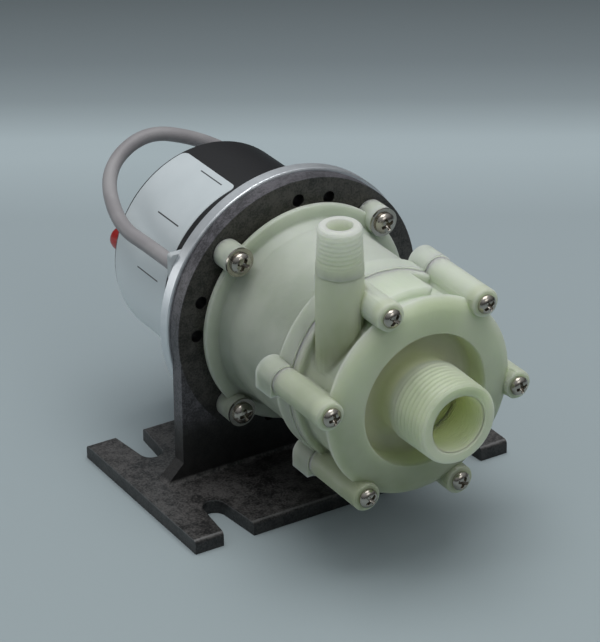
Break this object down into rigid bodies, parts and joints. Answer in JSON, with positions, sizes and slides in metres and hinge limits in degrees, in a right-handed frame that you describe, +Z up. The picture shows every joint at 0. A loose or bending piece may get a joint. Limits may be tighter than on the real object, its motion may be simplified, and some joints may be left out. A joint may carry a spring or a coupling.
{
  "type": "magnetic drive pump",
  "caption": "Small centrifugal pump with a sealed plastic head, front inlet spout and upright threaded outlet, driven by magnets from a round motor on a foot bracket with slots.",
  "frame": {"origin": "on the underside of the foot, in the plane of symmetry of the bracket, below the front face of its upright plate", "axes": "+X to the right as seen by someone who faces the inlet, +Y back along the pump axis towards the motor, +Z up"},
  "size_m": [0.1335, 0.2157, 0.1121],
  "materials": {
    "bracket_plastic": "moulded glass-filled plastic, faintly mottled",
    "turned_aluminium": "turned, satin, bright on its edges",
    "black_can": "satin black",
    "label_film": "bare white film",
    "steel": "ground",
    "stainless": "polished",
    "lamination": "stacked sheet",
    "magnet": "sintered",
    "copper": "enamelled wire",
    "board": "lacquered",
    "chip": "moulded",
    "natural_polypropylene": "translucent, natural colour",
    "seal_rubber": "moulded",
    "ceramic": "fired and ground",
    "carbon": "pressed",
    "red_plastic": "moulded",
    "cable_jacket": "smooth warm grey",
    "sleeve": "shrunk",
    "lead_insulation": "thin coloured insulation"
  },
  "bodies": {
    "pump_body": {"foot_bracket": "bracket_plastic", "motor_flange": "turned_aluminium", "motor_can": "black_can", "motor_label": "label_film", "rear_cover": "turned_aluminium", "rear_cap": "red_plastic", "tie_bolts": "steel", "motor_bearings": "steel", "preload_washer": "steel", "stator_core": "lamination", "windings": "copper", "circuit_board": "board", "board_spacers": "steel", "board_chips": "chip", "bell_housing": "natural_polypropylene", "isolation_cup": "natural_polypropylene", "pump_cover": "natural_polypropylene", "seal_ring": "seal_rubber", "spindle": "ceramic", "thrust_washers": "ceramic", "cover_screws": "stainless", "cover_nuts": "stainless", "bell_screws": "stainless", "bell_washers": "stainless", "cable_gland": "chip", "cable": "cable_jacket", "cable_coil": "cable_jacket", "cable_sleeve": "sleeve", "lead_wires": "lead_insulation"},
    "rotor": {"motor_shaft": "steel", "rotor_core": "lamination", "rotor_magnets": "magnet", "drive_hub": "steel", "drive_magnets": "magnet", "set_screws": "steel"},
    "impeller_wheel": {"impeller": "natural_polypropylene", "driven_magnet": "magnet", "bushing": "carbon"}
  },
  "joints": [
    {"name": "motor_spin", "type": "hinge", "parent": "pump_body", "child": "rotor", "pos_m": [0, 0, 0.055], "axis": [0, 1, 0], "continuous": true},
    {"name": "impeller_spin", "type": "hinge", "parent": "pump_body", "child": "impeller_wheel", "pos_m": [0, -0.0229, 0.055], "axis": [0, 1, 0], "continuous": true}
  ],
  "couplings": [
    {"joint": "impeller_spin", "follows": "motor_spin", "ratio": 1}
  ]
}
